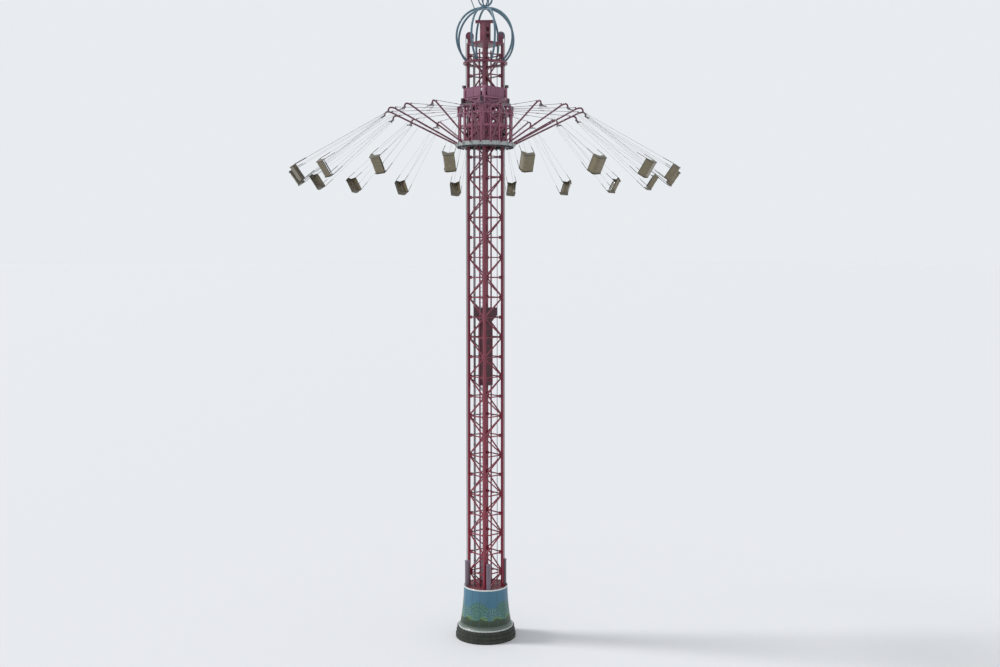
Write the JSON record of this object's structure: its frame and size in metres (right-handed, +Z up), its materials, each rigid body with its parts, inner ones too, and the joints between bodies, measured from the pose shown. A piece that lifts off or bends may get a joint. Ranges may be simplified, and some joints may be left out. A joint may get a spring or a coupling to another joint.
{
  "type": "tower chair swing ride, half-size scale model (1:2)",
  "caption": "Lattice tower with a climbing, spinning carriage that flings chairs out on chains, a flared base drum and a ribbed globe crown, at half size.",
  "frame": {"origin": "centre of the foundation flange's underside", "axes": "+Z up along the tower's axis; X and Y square to the tower's sides"},
  "size_m": [15.6706, 15.4638, 26.155],
  "materials": {
    "plinth_stone": "satin",
    "ring_pale": "satin",
    "drum_blue": "satin",
    "tower_paint": "gloss",
    "crown_paint": "gloss",
    "buffer_paint": "satin",
    "ring_paint": "satin",
    "dark_steel": "matte",
    "galvanised": "matte",
    "rope_steel": "satin",
    "roller_tread": "matte",
    "seat_shell": "gloss"
  },
  "bodies": {
    "root": {"base_plinth": "plinth_stone", "base_ring": "ring_pale", "base_drum": "drum_blue", "base_deck": "tower_paint", "buffers": "buffer_paint", "tower_legs": "tower_paint", "lattice_front": "tower_paint", "lattice_right": "tower_paint", "lattice_back": "tower_paint", "lattice_left": "tower_paint", "guide_rails": "galvanised", "ladder": "galvanised", "cable_duct": "galvanised", "head_bed": "tower_paint", "head_block": "tower_paint", "head_sheaves": "rope_steel", "sheave_cheeks": "tower_paint", "hoist_ropes": "rope_steel", "head_gallery": "tower_paint", "crown_ribs": "crown_paint", "crown_orb": "crown_paint", "lightning_conductor": "galvanised"},
    "carriage": {"slewing_bearing": "dark_steel", "carriage_frame": "tower_paint", "collar_panels": "tower_paint", "carriage_rollers": "roller_tread", "drive_units": "dark_steel"},
    "rotor": {"rotor_ring": "ring_paint", "rotor_posts": "tower_paint", "rotor_mid_ring": "tower_paint", "rotor_top_ring": "tower_paint", "arms": "tower_paint", "tie_rods": "galvanised"},
    "counterweight": {"counterweight": "dark_steel", "weight_sheaves": "rope_steel"},
    "chair_01": {"chair_01": "seat_shell"},
    "chair_02": {"chair_02": "seat_shell"},
    "chair_03": {"chair_03": "seat_shell"},
    "chair_04": {"chair_04": "seat_shell"},
    "chair_05": {"chair_05": "seat_shell"},
    "chair_06": {"chair_06": "seat_shell"},
    "chair_07": {"chair_07": "seat_shell"},
    "chair_08": {"chair_08": "seat_shell"},
    "chair_09": {"chair_09": "seat_shell"},
    "chair_10": {"chair_10": "seat_shell"},
    "chair_11": {"chair_11": "seat_shell"},
    "chair_12": {"chair_12": "seat_shell"},
    "chair_13": {"chair_13": "seat_shell"},
    "chair_14": {"chair_14": "seat_shell"},
    "chair_15": {"chair_15": "seat_shell"},
    "chair_16": {"chair_16": "seat_shell"},
    "chair_17": {"chair_17": "seat_shell"},
    "chair_18": {"chair_18": "seat_shell"}
  },
  "joints": [
    {"name": "lift", "type": "slide", "parent": "root", "child": "carriage", "axis": [0, 0, 1], "range_m": [-16.4, 0.6]},
    {"name": "balance", "type": "slide", "parent": "root", "child": "counterweight", "axis": [0, 0, 1], "range_m": [-0.3, 8.2]},
    {"name": "spin", "type": "hinge", "parent": "carriage", "child": "rotor", "pos_m": [0, 0, 19.875], "axis": [0, 0, 1], "continuous": true},
    {"name": "swing_01", "type": "hinge", "parent": "rotor", "child": "chair_01", "pos_m": [4, 0, 21.1], "axis": [0, -1, 0], "range_deg": [-55.3, 8]},
    {"name": "swing_02", "type": "hinge", "parent": "rotor", "child": "chair_02", "pos_m": [3.75877, 1.36808, 21.1], "axis": [0.342, -0.9397, 0], "range_deg": [-55.3, 8]},
    {"name": "swing_03", "type": "hinge", "parent": "rotor", "child": "chair_03", "pos_m": [3.06418, 2.57115, 21.1], "axis": [0.6428, -0.766, 0], "range_deg": [-55.3, 8]},
    {"name": "swing_04", "type": "hinge", "parent": "rotor", "child": "chair_04", "pos_m": [2, 3.4641, 21.1], "axis": [0.866, -0.5, 0], "range_deg": [-55.3, 8]},
    {"name": "swing_05", "type": "hinge", "parent": "rotor", "child": "chair_05", "pos_m": [0.69459, 3.93923, 21.1], "axis": [0.9848, -0.1736, 0], "range_deg": [-55.3, 8]},
    {"name": "swing_06", "type": "hinge", "parent": "rotor", "child": "chair_06", "pos_m": [-0.69459, 3.93923, 21.1], "axis": [0.9848, 0.1736, 0], "range_deg": [-55.3, 8]},
    {"name": "swing_07", "type": "hinge", "parent": "rotor", "child": "chair_07", "pos_m": [-2, 3.4641, 21.1], "axis": [0.866, 0.5, 0], "range_deg": [-55.3, 8]},
    {"name": "swing_08", "type": "hinge", "parent": "rotor", "child": "chair_08", "pos_m": [-3.06418, 2.57115, 21.1], "axis": [0.6428, 0.766, 0], "range_deg": [-55.3, 8]},
    {"name": "swing_09", "type": "hinge", "parent": "rotor", "child": "chair_09", "pos_m": [-3.75877, 1.36808, 21.1], "axis": [0.342, 0.9397, 0], "range_deg": [-55.3, 8]},
    {"name": "swing_10", "type": "hinge", "parent": "rotor", "child": "chair_10", "pos_m": [-4, 0, 21.1], "axis": [0, 1, 0], "range_deg": [-55.3, 8]},
    {"name": "swing_11", "type": "hinge", "parent": "rotor", "child": "chair_11", "pos_m": [-3.75877, -1.36808, 21.1], "axis": [-0.342, 0.9397, 0], "range_deg": [-55.3, 8]},
    {"name": "swing_12", "type": "hinge", "parent": "rotor", "child": "chair_12", "pos_m": [-3.06418, -2.57115, 21.1], "axis": [-0.6428, 0.766, 0], "range_deg": [-55.3, 8]},
    {"name": "swing_13", "type": "hinge", "parent": "rotor", "child": "chair_13", "pos_m": [-2, -3.4641, 21.1], "axis": [-0.866, 0.5, 0], "range_deg": [-55.3, 8]},
    {"name": "swing_14", "type": "hinge", "parent": "rotor", "child": "chair_14", "pos_m": [-0.69459, -3.93923, 21.1], "axis": [-0.9848, 0.1736, 0], "range_deg": [-55.3, 8]},
    {"name": "swing_15", "type": "hinge", "parent": "rotor", "child": "chair_15", "pos_m": [0.69459, -3.93923, 21.1], "axis": [-0.9848, -0.1736, 0], "range_deg": [-55.3, 8]},
    {"name": "swing_16", "type": "hinge", "parent": "rotor", "child": "chair_16", "pos_m": [2, -3.4641, 21.1], "axis": [-0.866, -0.5, 0], "range_deg": [-55.3, 8]},
    {"name": "swing_17", "type": "hinge", "parent": "rotor", "child": "chair_17", "pos_m": [3.06418, -2.57115, 21.1], "axis": [-0.6428, -0.766, 0], "range_deg": [-55.3, 8]},
    {"name": "swing_18", "type": "hinge", "parent": "rotor", "child": "chair_18", "pos_m": [3.75877, -1.36808, 21.1], "axis": [-0.342, -0.9397, 0], "range_deg": [-55.3, 8]}
  ],
  "couplings": [
    {"joint": "balance", "follows": "lift", "ratio": -0.5}
  ]
}
